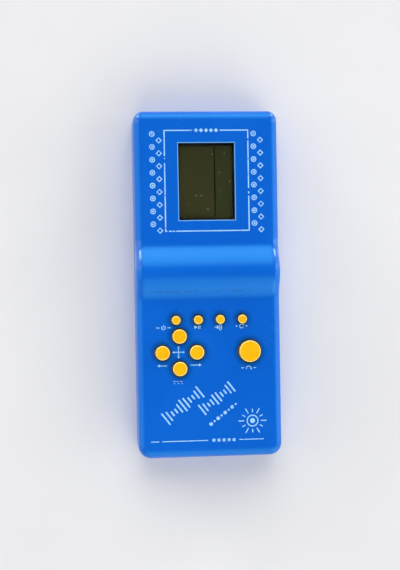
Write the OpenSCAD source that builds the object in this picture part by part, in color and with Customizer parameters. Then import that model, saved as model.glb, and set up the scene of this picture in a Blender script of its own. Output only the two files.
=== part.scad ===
// Pocket game console lying on its back.
// X runs to the right of the screen, Y runs toward the screen end, Z comes out of the front face.

/* [Case] */
// Length of the screen panel from the screen end to the hump
screen_l = 68.6; // [62:0.1:80]
// Length of the keypad panel from the hump to the battery bay
keypad_l = 48.1; // [43:0.1:60]
// Room between the battery bay and the screw bosses beside it
side_room = 1.1; // [0.6:0.1:6]
// Height of the two flat front panels above the back
face_z = 24; // [22:0.5:30]
// Height of the parting line above the back
part_z = 12; // [10:0.5:13]
// Wall thickness of both shells
wall = 2; // [1.8:0.1:2.4]
// Corner radius at the screen end
corner_top = 5; // [5:0.5:7]
// Corner radius at the battery end
corner_low = 6.5; // [5:0.5:8]
// Radius of the rounded front edge
front_round = 4.5; // [3:0.1:4.8]
// Radius of the rounded back edge
back_round = 2; // [1:0.1:2]
// Height of the lip that locates the shells on each other
lip_h = 1.5; // [1:0.1:2]
// Thickness of that lip
lip_t = 0.9; // [0.7:0.05:1]
// Depth of the shadow groove along the parting line
groove_d = 0.3; // [0.2:0.05:0.5]
// Height of the shadow groove
groove_h = 0.5; // [0.3:0.05:0.8]

/* [Hump] */
// Height of the cross hump above the front panels
hump_h = 5; // [4:0.1:6]
// Share of the screen side's flank that its hollow foot takes
rise_share = 0.3; // [0.25:0.01:0.6]
// Share of the keypad side's flank that its hollow foot takes
fall_share = 0.4; // [0.25:0.01:0.6]

/* [Screen] */
// Width of the window opening
window_w = 29.2; // [24:0.2:30]
// Length of the window opening
window_l = 39.9; // [34:0.1:41]
// Distance of the window centre from the screen end
window_in = 36.7; // [33:0.1:41]
// Bevel round the window opening
window_bevel = 0.6; // [0.3:0.1:0.9]
// Depth of the window face below the panel
window_sink = 0.8; // [0.6:0.1:1.2]
// Thickness of the window flange
window_t = 1.2; // [0.8:0.1:1.5]
// Set-back of the window flange from the outline of the display glass
flange_in = 0.5; // [0:0.1:1]
// Width of the display glass
lcd_w = 36; // [32:0.2:40]
// Length of the display glass
lcd_l = 48; // [43:0.2:52]
// Thickness of one glass plate
glass_t = 1.1; // [0.7:0.1:1.2]
// Thickness of a polariser film
film_t = 0.2; // [0.15:0.05:0.3]
// Air gap between window and display
lcd_air = 0.2; // [0.1:0.05:0.3]
// Length of the contact ledge of the front glass
ledge = 3; // [2.8:0.1:3.4]
// Width of the rubber contact strip
zebra_w = 2.2; // [1.6:0.1:2.6]
// Width of the foam strip
foam_w = 5; // [3:0.5:8]
// Thickness of the fence ribs round the display
fence_t = 1.2; // [0.8:0.1:1.6]

/* [Buttons] */
// Diameter of the four small buttons
small_d = 4.6; // [4:0.1:5.2]
// Height of the small buttons above the panel
small_up = 1.6; // [1.4:0.1:2.4]
// Pitch of the small buttons
small_pitch = 11.5; // [10:0.5:13]
// Distance of the small buttons from the foot of the hump
small_drop = 9.7; // [8:0.1:11]
// Diameter of the direction buttons
pad_d = 7.4; // [6.5:0.1:8.5]
// Height of the direction buttons above the panel
pad_up = 2; // [1.6:0.1:3]
// Distance of the direction cross to the left of the middle
pad_x = 15.6; // [14:0.1:17]
// Free panel between the small buttons and the up button
pad_clear = 2.4; // [2.2:0.05:4]
// Half distance between the left and right buttons
pad_reach_x = 8.9; // [8:0.1:9.8]
// Half distance between the up and down buttons
pad_reach_y = 8.4; // [7.6:0.1:9.2]
// Diameter of the large button
turn_d = 11.2; // [10:0.1:13]
// Height of the large button above the panel
turn_up = 2.2; // [1.6:0.1:3]
// Distance of the large button to the right of the middle
turn_x = 20.9; // [19:0.1:23]
// Gap all round a button in its hole
button_gap = 0.55; // [0.3:0.05:0.7]
// Rounding of the button tops
button_round = 0.6; // [0.3:0.1:0.8]
// Width of a button's inner rim
rim_over = 1.1; // [0.9:0.05:1.3]
// Thickness of that rim
rim_t = 1.4; // [1:0.1:1.8]
// Gap between that rim and the panel
rim_gap = 0.2; // [0.1:0.05:0.3]
// Travel of every button
travel = 1.2; // [0.8:0.1:1.4]

/* [Keypad] */
// Thickness of the rubber sheet
mat_t = 1; // [0.8:0.1:1.2]
// Height of the rubber domes above the sheet
dome_h = 2.4; // [2.2:0.1:2.8]
// Wall of the rubber domes
dome_t = 0.7; // [0.5:0.05:0.9]
// Sheet left outside the outermost domes
mat_rim = 0.8; // [0.6:0.1:0.9]
// Thickness of the carbon pills
pill_t = 0.8; // [0.5:0.1:1]
// Pill to board distance left at full travel
pill_rest = 0.1; // [0.05:0.05:0.2]

/* [Board] */
// Room between the circuit board and the screw bosses beside it
board_room = 0.9; // [0.5:0.1:2]
// Thickness of the circuit board
board_t = 1.6; // [1:0.1:1.7]
// Distance of the board below the inside of the front panel
board_deep = 7.4; // [6.8:0.1:8]
// Distance of the board from the screen end
board_in = 6; // [5:0.5:8]
// Width of the chip's resin blob
blob_d = 15; // [10:0.5:18]
// Height of the resin blob
blob_h = 2.2; // [1.5:0.1:3]
// Diameter of the capacitor
cap_d = 5; // [4:0.5:6.5]
// Length of the capacitor
cap_l = 11; // [8:0.5:13]
// Diameter of the resistor bodies
res_d = 1.8; // [1.5:0.1:2.4]
// Length of the resistor bodies
res_l = 3.6; // [3:0.1:6]

/* [Screws] */
// Thread diameter of the screws
screw_d = 2; // [1.8:0.1:2.2]
// Head diameter of the screws
head_d = 3.8; // [3.4:0.1:3.9]
// Head height of the screws
head_h = 1.4; // [1:0.1:1.6]
// Depth of the screw seats below the back
seat_deep = 4.5; // [3.5:0.1:6]
// Length of a case screw below its head
case_screw_l = 12; // [10:0.5:13]
// Length of a board screw below its head
board_screw_l = 6; // [5:0.5:7]
// Radius of the case screw bosses
boss_r = 2.6; // [2.5:0.05:2.8]
// Radius of the board screw bosses
post_r = 2.2; // [2:0.1:2.4]

/* [Battery] */
// Diameter of an AA cell
cell_d = 14.2; // [13:0.1:15.5]
// Length of the cell body without its button
cell_l = 49; // [44:0.1:54]
// Diameter of the cell button
nub_d = 5.5; // [4.5:0.1:5.5]
// Height of the cell button
nub_h = 1.2; // [1:0.1:1.4]
// Gap between the two cells
cell_between = 0.8; // [0.4:0.1:1.2]
// Free space round the cells
cell_slack = 0.3; // [0.2:0.05:0.5]
// Wall of the battery bay
bay_wall = 1.2; // [1:0.05:1.4]
// Thickness of the contact plates
plate_t = 0.4; // [0.3:0.05:0.5]
// Side of the contact plates
plate_w = 11; // [9:0.5:12]
// Height of the pressed bump of the positive contacts
bump_h = 1; // [0.6:0.1:1.2]
// Fitted length of the contact springs
spring_l = 4.4; // [4.2:0.1:5]
// Wire diameter of the contact springs
spring_wire = 0.6; // [0.5:0.05:0.7]
// Radius of the springs at the plate
spring_r1 = 4; // [3.8:0.1:4.5]
// Radius of the springs at the cell
spring_r2 = 2.4; // [2:0.1:2.6]
// Curls of each spring
spring_turns = 3; // [2:0.5:3]
// Width of the solder tags
tag_w = 2.5; // [2:0.1:3]
// Depth of the runners along the sides of the battery door
runner_w = 1; // [0.7:0.05:1]
// Thickness of those runners
runner_t = 1; // [0.8:0.05:1]
// Overlap of the door past the bay
door_over = 1; // [0.6:0.05:1.05]
// Gap round the battery door
door_gap = 0.15; // [0.1:0.01:0.2]
// Thumb grooves across the door
grip_n = 5; // [3:1:6]
// Depth of the thumb grooves
grip_d = 0.5; // [0.3:0.05:0.7]

/* [Sounder] */
// Diameter of the brass disc
disc_d = 27; // [20:1:35]
// Thickness of the brass disc
disc_t = 0.3; // [0.2:0.05:0.4]
// Diameter of the ceramic disc on it
ceramic_d = 20; // [14:1:25]
// Diameter of the sound holes
sound_d = 1.6; // [1.2:0.1:2]
// Radius of the ring of sound holes
sound_ring = 4.5; // [3.5:0.1:6]
// Diameter of the insulated leads
lead_d = 1.2; // [1:0.05:1.3]

/* [Fit] */
// Clearance between parts that only slip together
slip = 0.15; // [0.1:0.01:0.2]
// Clearance of a screw in its hole
screw_play = 0.3; // [0.2:0.05:0.4]

/* [Hidden] */
$fn = 64;
// Each flank of the hump is steepest along the long side of a 3-4-5 triangle, so its arcs meet on round numbers
flank_sin = 3 / 5;
flank_cos = 4 / 5;
flank_r = hump_h / (1 - flank_cos);
hump_run = flank_r * flank_sin;
bay_gap = 0.3;
bay_half = plate_t + (bump_h + nub_h + cell_l + spring_l) / 2;
bay_l = wall + bay_gap + bay_wall + 2 * cell_slack + 2 * cell_d + cell_between;
boss_lap = 0.2;
boss_x = bay_half + bay_wall + side_room + boss_r;
case_w = 2 * (boss_x + boss_r - boss_lap + wall);
case_l = screen_l + 2 * hump_run + keypad_l + bay_l;
y_top = case_l / 2;
y_low = -case_l / 2;
inside_z = face_z - wall;
cut = 1;
round_lap = 1;
mark_over = 2;

// Hump: every flank is a crest arc and a hollow foot arc that meet without a corner
crest_y = y_top - screen_l - hump_run;
crest_z = face_z + hump_h;
rise_foot_r = rise_share * flank_r;
fall_foot_r = fall_share * flank_r;
rise_crest_r = flank_r - rise_foot_r;
fall_crest_r = flank_r - fall_foot_r;
rise_foot = crest_y + hump_run;
fall_foot = crest_y - hump_run;

// Screen stack from the panel down
window_y = y_top - window_in;
pad_top_z = face_z - window_sink;
flange_z = inside_z - window_t;
film_z = flange_z - lcd_air - film_t;
glass_z = film_z - glass_t;
rear_glass_z = glass_z - glass_t;
rear_film_z = rear_glass_z - film_t;
lcd_low = window_y - lcd_l / 2;
film_rim = 0.5;
fence_play = 0.3;
fence_low = 0.4;
fence_lap = 0.5;
strip_in = 1;

// Board and keypad levels
board_top = inside_z - board_deep;
board_low = board_top - board_t;
mat_top = board_top + mat_t;
dome_top = mat_top + dome_h;
pill_z = board_top + travel + pill_rest;
rim_top = inside_z - rim_gap;
rim_z = rim_top - rim_t;
dome_taper = 1.2;
pill_in = 0.5;
stem_in = 0.2;
hole_bevel = 0.15;

// Buttons: name, place, diameter, height above the panel
small_y = fall_foot - small_drop;
pad_y = small_y - small_d / 2 - pad_clear - pad_d / 2 - pad_reach_y;
buttons = [
  ["power", -1.5 * small_pitch, small_y, small_d, small_up],
  ["start", -0.5 * small_pitch, small_y, small_d, small_up],
  ["sound", 0.5 * small_pitch, small_y, small_d, small_up],
  ["reset", 1.5 * small_pitch, small_y, small_d, small_up],
  ["up", -pad_x, pad_y + pad_reach_y, pad_d, pad_up],
  ["down", -pad_x, pad_y - pad_reach_y, pad_d, pad_up],
  ["left", -pad_x - pad_reach_x, pad_y, pad_d, pad_up],
  ["right", -pad_x + pad_reach_x, pad_y, pad_d, pad_up],
  ["rotate", turn_x, pad_y, turn_d, turn_up]
];

// Battery bay: the lower cell points left, the upper cell points right
bay_low = y_low + wall + bay_gap + bay_wall;
low_cell_y = bay_low + cell_slack + cell_d / 2;
high_cell_y = low_cell_y + cell_d + cell_between;
bay_top = high_cell_y + cell_d / 2 + cell_slack;
cell_z = wall + cell_slack + cell_d / 2;
bay_roof = cell_z + cell_d / 2 + cell_slack;
tag_stand = 1.6;
tag_top = bay_roof + bay_wall + tag_stand;
tag_play = 0.3;
door_half = bay_half;
door_t = wall - door_gap;
door_top = bay_top + door_over;
grip_in = 4;
grip_l = 18;
grip_w = 1;
grip_pitch = 2.2;
arrow_w = 9;
arrow_l = 6;

// Board ends just above the bay
board_y1 = y_top - board_in;
board_bay_room = 2;
board_y0 = bay_top + bay_wall + board_bay_room;
board_w = 2 * (boss_x - boss_r - board_room);
mat_half = pad_x + pad_reach_x + dome_r(pad_d) + mat_rim;
mat_y1 = small_y + dome_r(small_d) + mat_rim;
mat_y0 = pad_y - pad_reach_y - dome_r(pad_d) - mat_rim;

// Screw places
boss_in = 5.5;
mid_boss_drop = 2.4;
boss_y = [y_top - boss_in, crest_y - mid_boss_drop, y_low + boss_in];
case_screw_at = [for (y = boss_y, s = [-1, 1]) [s * boss_x, y]];
post_x = 25;
post_in = 3.5;
foot_post = 0.6;
mid_post_drop = 7;
mid_post = [(turn_x - pad_x) / 2, pad_y - mid_post_drop];
board_screw_at = concat(
  [for (y = [board_y1 - post_in, fall_foot + foot_post], s = [-1, 1]) [s * post_x, y]],
  [mid_post]
);
seat_play = 0.25;
seat_r = head_d / 2 + seat_play;
seat_wall = 0.9;
seat_floor = 1.2;
bore_play = 0.03;
bore_spare = 1;
slot_w = 0.6;
slot_d = 0.7;

// Sounder and parts on the back of the board
disc_drop = 12;
disc_y = window_y - disc_drop;
ceramic_t = 0.2;
blob_up = 4.6;
blob_y = crest_y + blob_up;
cap_x = 12;
cap_drop = 9.4;
cap_y = crest_y - cap_drop;
res_x = -16;
res_pitch = 4;
res_lead = 0.6;
res_reach = 2;
lie_gap = 0.2;
cell_edge = 0.5;
post_play = 0.4;

// Lead routes from a solder tag over the bay and down to the board, and from the sounder up to the board
lead_bend = 2.4;
lead_stub = 1.5;
lead_bow = 4.4;
lead_apart = 3;
lead_start = 0.2;
pad_in = 1.4;
tag_solder = 0.8;
tag_face = plate_t - bay_half;
lead_end_y = board_y0 + pad_in;
run_z = tag_top - tag_solder;
disc_z = wall + disc_t;
disc_lead_in = 1.5;
function tag_route(y, stub) = let(x = tag_face + stub + lead_bend) concat(
  [[tag_face, y, run_z]],
  [for (a = [0:22.5:90]) [x - lead_bend + lead_bend * sin(a), y + lead_bend * (1 - cos(a)), run_z]],
  [for (a = [0:22.5:90])
    [x, lead_end_y - lead_bend + lead_bend * sin(a), run_z - lead_bend * (1 - cos(a))]],
  [[x, lead_end_y, board_top]]
);
function disc_route(x, z) = concat(
  [[x, disc_y, z]],
  [for (t = [0:0.25:1])
    [x, disc_y - lead_bow * (1 - cos(180 * t)) / 2, z + lead_stub + (board_low - z - 2 * lead_stub) * t]],
  [[x, disc_y - lead_bow, board_low]]
);

shell_blue = [0.05, 0.38, 0.85];
button_yellow = [0.98, 0.71, 0.08];
metal = [0.75, 0.75, 0.72];

function dome_r(d) = d / 2 + (d < 6 ? 0.5 : 0.15);
function dome_top_r(d) = dome_r(d) - dome_taper;

// Plan outline of the case, drawn inward by d
module plan(d) {
  half = case_w / 2 - d;
  translate([-half, y_low + corner_low])
    square([2 * half, case_l - corner_low - corner_top]);
  translate([corner_top - case_w / 2, y_top - corner_top - cut])
    square([case_w - 2 * corner_top, corner_top + cut - d]);
  translate([corner_low - case_w / 2, y_low + d])
    square([case_w - 2 * corner_low, corner_low + cut - d]);
  for (s = [-1, 1]) {
    translate([s * (case_w / 2 - corner_top), y_top - corner_top])
      circle(corner_top - d);
    translate([s * (case_w / 2 - corner_low), y_low + corner_low])
      circle(corner_low - d);
  }
}

// Crest arc of one flank as a side view, clipped to that flank, which starts at y
module crest_arc(y, r, d, z0) {
  intersection() {
    translate([crest_y, crest_z - r])
      circle(r - d);
    translate([y, z0])
      square([hump_run, crest_z - z0]);
  }
}

// Point where a flank's two arcs meet, drawn inward by d
function meeting(side, r, d) = [
  crest_y + side * (r - d) * flank_sin,
  crest_z - r + (r - d) * flank_cos
];

// Side view of the front half without the crest arcs, drawn inward by d and down to z0
module wave(d, z0) {
  top = face_z - d;
  difference() {
    polygon([
      [y_low - cut, z0],
      [y_low - cut, top],
      [fall_foot, top],
      meeting(-1, fall_crest_r, d),
      [crest_y, crest_z - d],
      meeting(1, rise_crest_r, d),
      [rise_foot, top],
      [y_top + cut, top],
      [y_top + cut, z0]
    ]);
    translate([rise_foot, face_z + rise_foot_r])
      circle(rise_foot_r + d);
    translate([fall_foot, face_z + fall_foot_r])
      circle(fall_foot_r + d);
  }
}

// Front half as a solid, drawn inward by d and down to z0
module front_solid(d, z0) {
  across = case_w + 2 * cut;
  intersection() {
    rotate([90, 0, 90]) {
      linear_extrude(across, center = true)
        wave(d, z0);
      linear_extrude(across, center = true)
        crest_arc(crest_y, rise_crest_r, d, z0);
      linear_extrude(across, center = true)
        crest_arc(fall_foot, fall_crest_r, d, z0);
    }
    translate([0, 0, z0])
      linear_extrude(crest_z - z0 + cut)
        plan(d);
  }
}

// Waste outside a rounded edge whose sharp corner lies at the origin
module edge_waste(r) {
  difference() {
    translate([-r, -r])
      square(r + round_lap);
    translate([-r, -r])
      circle(r);
  }
}

// Waste along a straight edge that runs from y0 to y1 on the right-hand side
module side_waste(r, z, y0, y1) {
  translate([case_w / 2, y1, z])
    rotate([90, 0, 0])
      linear_extrude(y1 - y0)
        edge_waste(r);
}

// Points above and below the hump's side view where one of its arcs starts or ends
function mark(at, across) = [
  at + mark_over * across,
  at - (front_round + mark_over) * across
];
rise_mark = mark([rise_foot, face_z], [0, 1]);
rise_half_mark = mark(meeting(1, rise_crest_r, 0), [flank_sin, flank_cos]);
crest_mark = mark([crest_y, crest_z], [0, 1]);
fall_half_mark = mark(meeting(-1, fall_crest_r, 0), [-flank_sin, flank_cos]);
fall_mark = mark([fall_foot, face_z], [0, 1]);

// Waste along an arc of the hump on the right-hand side, between two marks
module hump_waste(y, z, r, hollow, a, b) {
  intersection() {
    translate([0, y, z])
      rotate([0, 90, 0])
        rotate_extrude()
          translate([r, case_w / 2])
            mirror([hollow ? 1 : 0, 0])
              edge_waste(front_round);
    rotate([90, 0, 90])
      linear_extrude(case_w)
        polygon([a[0], a[1], b[1], b[0]]);
  }
}

// Waste along the two ends and round the four corners
module end_waste(r, z) {
  for (e = [[1, y_top, corner_top], [-1, y_low, corner_low]])
    translate([0, e[1], z])
      scale([1, e[0], 1])
        rotate([90, 0, 90])
          linear_extrude(case_w - 2 * e[2], center = true)
            edge_waste(r);
  for (e = [[0, y_top - corner_top, corner_top], [2, y_low + corner_low, corner_low]], quarter = [0, 1])
    translate([(e[0] == 2 * quarter ? 1 : -1) * (case_w / 2 - e[2]), e[1], z])
      rotate([0, 0, 90 * (e[0] + quarter)])
        rotate_extrude(angle = 90)
          translate([e[2], 0])
            edge_waste(r);
}

module front_waste() {
  for (s = [0, 1])
    mirror([s, 0, 0]) {
      side_waste(front_round, face_z, rise_foot, y_top - corner_top);
      side_waste(front_round, face_z, y_low + corner_low, fall_foot);
      hump_waste(rise_foot, face_z + rise_foot_r, rise_foot_r, true, rise_mark, rise_half_mark);
      hump_waste(crest_y, crest_z - rise_crest_r, rise_crest_r, false, rise_half_mark, crest_mark);
      hump_waste(crest_y, crest_z - fall_crest_r, fall_crest_r, false, crest_mark, fall_half_mark);
      hump_waste(fall_foot, face_z + fall_foot_r, fall_foot_r, true, fall_half_mark, fall_mark);
    }
  end_waste(front_round, face_z);
}

// Waste that bevels a rectangular opening at height z
module bevel_waste(w, l, b, z) {
  intersection() {
    rotate([90, 0, 0])
      linear_extrude(l + 4 * cut, center = true)
        polygon([[-w / 2, z - b], [w / 2, z - b], [w / 2 + b + cut, z + cut], [-w / 2 - b - cut, z + cut]]);
    rotate([90, 0, 90])
      linear_extrude(w + 4 * cut, center = true)
        polygon([[-l / 2, z - b], [l / 2, z - b], [l / 2 + b + cut, z + cut], [-l / 2 - b - cut, z + cut]]);
  }
}

// Ring of the case outline between two insets
module ring(outer, inner, z0, z1) {
  translate([0, 0, z0])
    linear_extrude(z1 - z0)
      difference() {
        plan(outer);
        plan(inner);
      }
}

// Bosses and the display fence that hang from the inside of the front panel
module front_bosses() {
  for (p = case_screw_at)
    translate([p[0], p[1], part_z])
      cylinder(h = crest_z - part_z, r = boss_r);
  for (p = board_screw_at)
    translate([p[0], p[1], board_top])
      cylinder(h = crest_z - board_top, r = post_r);
  translate([0, window_y, rear_film_z + fence_low])
    linear_extrude(inside_z + fence_lap - rear_film_z - fence_low)
      difference() {
        square([lcd_w + 2 * (fence_play + fence_t), lcd_l + 2 * (fence_play + fence_t)], center = true);
        square([lcd_w + 2 * fence_play, lcd_l + 2 * fence_play], center = true);
      }
}

module front_shell() {
  color(shell_blue)
    difference() {
      union() {
        difference() {
          front_solid(0, part_z);
          front_waste();
          front_solid(wall, part_z - cut);
        }
        intersection() {
          front_bosses();
          front_solid(wall / 2, part_z);
        }
      }
      ring(wall - lip_t - slip, wall + slip, part_z - cut, part_z + lip_h + slip);
      translate([-window_w / 2, window_y - window_l / 2, inside_z - cut])
        cube([window_w, window_l, wall + 2 * cut]);
      translate([0, window_y, 0])
        bevel_waste(window_w, window_l, window_bevel, face_z);
      for (b = buttons)
        translate([b[1], b[2], inside_z - cut])
          cylinder(h = wall + 2 * cut, r = b[3] / 2 + button_gap);
      for (b = buttons)
        let(r = b[3] / 2 + button_gap)
          translate([b[1], b[2], face_z - hole_bevel])
            cylinder(h = hole_bevel + cut, r1 = r, r2 = r + hole_bevel + cut);
      for (p = case_screw_at)
        translate([p[0], p[1], part_z - cut])
          cylinder(h = cut + bore_spare + seat_deep + case_screw_l - part_z, r = screw_d / 2 + bore_play);
      for (p = board_screw_at)
        translate([p[0], p[1], board_top - cut])
          cylinder(h = cut + bore_spare + board_screw_l - board_t, r = screw_d / 2 + bore_play);
    }
}

// Rear half as a solid
module rear_solid() {
  difference() {
    linear_extrude(part_z)
      plan(0);
    mirror([0, 0, 1]) {
      for (s = [0, 1])
        mirror([s, 0, 0])
          side_waste(back_round, 0, y_low + corner_low, y_top - corner_top);
      end_waste(back_round, 0);
    }
  }
}

// Posts for the case screws and the outside of the battery bay
module rear_bosses() {
  for (p = case_screw_at)
    translate([p[0], p[1], wall / 2]) {
      cylinder(h = seat_deep + seat_floor - wall / 2, r = seat_r + seat_wall);
      cylinder(h = part_z - wall / 2, r = boss_r);
    }
  translate([-bay_half - bay_wall, bay_low - bay_wall, wall / 2])
    cube([2 * (bay_half + bay_wall), bay_top - bay_low + 2 * bay_wall, bay_roof + bay_wall - wall / 2]);
  translate([-bay_half - bay_wall, y_low + wall / 2, wall / 2])
    cube([2 * (bay_half + bay_wall), bay_low - y_low - wall / 2, part_z - wall / 2]);
}

module rear_shell() {
  color(shell_blue)
    difference() {
      union() {
        difference() {
          rear_solid();
          translate([0, 0, wall])
            linear_extrude(part_z)
              plan(wall);
        }
        ring(wall - lip_t, wall, part_z - lip_h, part_z + lip_h);
        intersection() {
          rear_bosses();
          linear_extrude(crest_z)
            plan(wall / 2);
        }
      }
      ring(-cut, groove_d, part_z - groove_h, part_z + cut);
      translate([-bay_half, bay_low, -cut])
        cube([2 * bay_half, bay_top - bay_low, bay_roof + cut]);
      translate([-door_half - door_gap, y_low - cut, -cut])
        cube([2 * (door_half + door_gap), door_top + door_gap - y_low + cut, wall + cut]);
      translate([-door_half - runner_w - door_gap, y_low - cut, door_t - runner_t - door_gap])
        cube([
          2 * (door_half + runner_w + door_gap),
          door_top + door_gap - y_low + cut,
          wall - door_t + runner_t + door_gap
        ]);
      for (y = [low_cell_y, high_cell_y])
        translate([-bay_half, y - tag_w / 2 - tag_play, bay_roof - cut])
          cube([plate_t + tag_play, tag_w + 2 * tag_play, bay_wall + 2 * cut]);
      for (p = case_screw_at)
        translate([p[0], p[1], -cut]) {
          cylinder(h = seat_deep + cut, r = seat_r);
          cylinder(h = part_z + 2 * cut, r = (screw_d + screw_play) / 2);
        }
      translate([0, disc_y, -cut])
        cylinder(h = wall + 2 * cut, d = sound_d);
      for (i = [0:5])
        translate([sound_ring * cos(60 * i), disc_y + sound_ring * sin(60 * i), -cut])
          cylinder(h = wall + 2 * cut, d = sound_d);
    }
}

module battery_door() {
  color(shell_blue)
    difference() {
      intersection() {
        rear_solid();
        union() {
          translate([-door_half, y_low - cut, 0])
            cube([2 * door_half, door_top - y_low + cut, door_t]);
          translate([-door_half - runner_w, y_low - cut, door_t - runner_t])
            cube([2 * (door_half + runner_w), door_top - y_low + cut, runner_t]);
        }
      }
      for (i = [0:grip_n - 1])
        translate([-grip_l / 2, door_top - grip_in - i * grip_pitch - grip_w, -cut])
          cube([grip_l, grip_w, cut + grip_d]);
      translate([0, door_top - grip_in - grip_n * grip_pitch, -cut])
        linear_extrude(cut + grip_d)
          polygon([[-arrow_w / 2, -grip_w], [arrow_w / 2, -grip_w], [0, -grip_w - arrow_l]]);
    }
}

module screen_window() {
  color([0.8, 0.85, 0.85, 0.4]) {
    translate([flange_in - lcd_w / 2, lcd_low + flange_in, flange_z])
      cube([lcd_w - 2 * flange_in, lcd_l - 2 * flange_in, window_t]);
    translate([slip - window_w / 2, window_y - window_l / 2 + slip, flange_z])
      cube([window_w - 2 * slip, window_l - 2 * slip, pad_top_z - flange_z]);
  }
}

module lcd_glass() {
  color([0.35, 0.36, 0.22]) {
    translate([-lcd_w / 2, lcd_low, glass_z])
      cube([lcd_w, lcd_l, glass_t]);
    translate([-lcd_w / 2, lcd_low + ledge, rear_glass_z])
      cube([lcd_w, lcd_l - ledge, glass_t]);
  }
}

module lcd_front_polariser() {
  color([0.28, 0.27, 0.15])
    translate([film_rim - lcd_w / 2, lcd_low + film_rim, film_z])
      cube([lcd_w - 2 * film_rim, lcd_l - 2 * film_rim, film_t]);
}

module lcd_rear_polariser() {
  color([0.45, 0.45, 0.38])
    translate([film_rim - lcd_w / 2, lcd_low + ledge + film_rim, rear_film_z])
      cube([lcd_w - 2 * film_rim, lcd_l - ledge - 2 * film_rim, film_t]);
}

module zebra_strip() {
  color([0.85, 0.55, 0.6])
    translate([strip_in - lcd_w / 2, lcd_low + (ledge - zebra_w) / 2, board_top])
      cube([lcd_w - 2 * strip_in, zebra_w, glass_z - board_top]);
}

module lcd_foam() {
  color([0.2, 0.2, 0.2])
    translate([strip_in - lcd_w / 2, lcd_low + lcd_l - strip_in - foam_w, board_top])
      cube([lcd_w - 2 * strip_in, foam_w, rear_film_z - board_top]);
}

module circuit_board() {
  color([0.6, 0.45, 0.2])
    difference() {
      translate([-board_w / 2, board_y0, board_low])
        cube([board_w, board_y1 - board_y0, board_t]);
      for (p = board_screw_at)
        translate([p[0], p[1], board_low - cut])
          cylinder(h = board_t + 2 * cut, r = (screw_d + screw_play) / 2);
    }
}

module chip_blob($fn = 128) {
  sphere_r = (blob_d * blob_d / 4 + blob_h * blob_h) / (2 * blob_h);
  color([0.08, 0.08, 0.08])
    translate([0, blob_y, board_low])
      rotate([180, 0, 0])
        rotate_extrude()
          intersection() {
            translate([0, blob_h - sphere_r])
              circle(sphere_r);
            square([blob_d, blob_h]);
          }
}

// Wire that leaves a body level with z, turns and ends on the underside of the board
module bent_lead(z, reach) {
  rotate([0, 90, 0])
    cylinder(h = reach + res_lead / 2, d = res_lead);
  translate([reach, 0, -res_lead / 2])
    cylinder(h = board_low - z + res_lead / 2, d = res_lead);
}

module capacitor() {
  z = board_low - cap_d / 2 - lie_gap;
  color([0.1, 0.1, 0.3])
    translate([cap_x, cap_y, z])
      rotate([0, 90, 0])
        cylinder(h = cap_l, d = cap_d);
  color(metal)
    for (s = [-1, 1])
      translate([cap_x, cap_y + s * cap_d / 4, z])
        rotate([0, 0, 180])
          bent_lead(z, res_reach);
}

module resistors() {
  z = board_low - res_d / 2 - lie_gap;
  for (i = [0:2])
    translate([res_x, cap_y + i * res_pitch, z]) {
      color([0.8, 0.7, 0.5])
        rotate([0, 90, 0])
          cylinder(h = res_l, d = res_d, center = true);
      color(metal)
        for (s = [0, 180])
          rotate([0, 0, s])
            bent_lead(z, res_l / 2 + res_reach);
    }
}

module rubber_keypad() {
  color([0.75, 0.75, 0.72])
    difference() {
      union() {
        translate([-mat_half, mat_y0, board_top])
          cube([2 * mat_half, mat_y1 - mat_y0, mat_t]);
        for (b = buttons)
          translate([b[1], b[2], mat_top - mat_t / 2])
            cylinder(h = mat_t / 2, r = dome_r(b[3]));
        for (b = buttons)
          translate([b[1], b[2], mat_top])
            cylinder(h = dome_h, r1 = dome_r(b[3]), r2 = dome_top_r(b[3]));
      }
      for (b = buttons)
        translate([b[1], b[2], board_top - cut])
          cylinder(h = cut + travel / 2, r = dome_r(b[3]) - dome_t);
      for (b = buttons)
        translate([b[1], b[2], board_top])
          cylinder(
            h = pill_z + pill_t - board_top,
            r1 = dome_r(b[3]) - dome_t,
            r2 = dome_top_r(b[3]) - pill_in / 2
          );
      translate([mid_post[0], mid_post[1], board_top - cut])
        cylinder(h = mat_t + 2 * cut, r = post_r + post_play);
    }
}

module button(b) {
  r = b[3] / 2;
  top = face_z + b[4];
  stem = dome_top_r(b[3]) - stem_in;
  color(button_yellow)
    translate([b[1], b[2], 0])
      rotate_extrude()
        difference() {
          polygon([
            [0, dome_top],
            [stem, dome_top],
            [stem, rim_z],
            [r + rim_over, rim_z],
            [r + rim_over, rim_top],
            [r, rim_top],
            [r, top],
            [0, top]
          ]);
          translate([r, top])
            edge_waste(button_round);
        }
}

module pill(b) {
  color([0.12, 0.12, 0.12])
    translate([b[1], b[2], pill_z])
      cylinder(h = pill_t, r = dome_top_r(b[3]) - pill_in);
}

// Cell along X with its button toward the side s and its flat end at x
module aa_cell(x, y, s) {
  color([0.75, 0.5, 0.2])
    translate([x, y, cell_z])
      rotate([0, 90 * s, 0])
        rotate_extrude()
          polygon([
            [0, 0],
            [cell_d / 2 - cell_edge, 0],
            [cell_d / 2, cell_edge],
            [cell_d / 2, cell_l - cell_edge],
            [cell_d / 2 - cell_edge, cell_l],
            [nub_d / 2, cell_l],
            [nub_d / 2, cell_l + nub_h],
            [0, cell_l + nub_h]
          ]);
}

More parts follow.
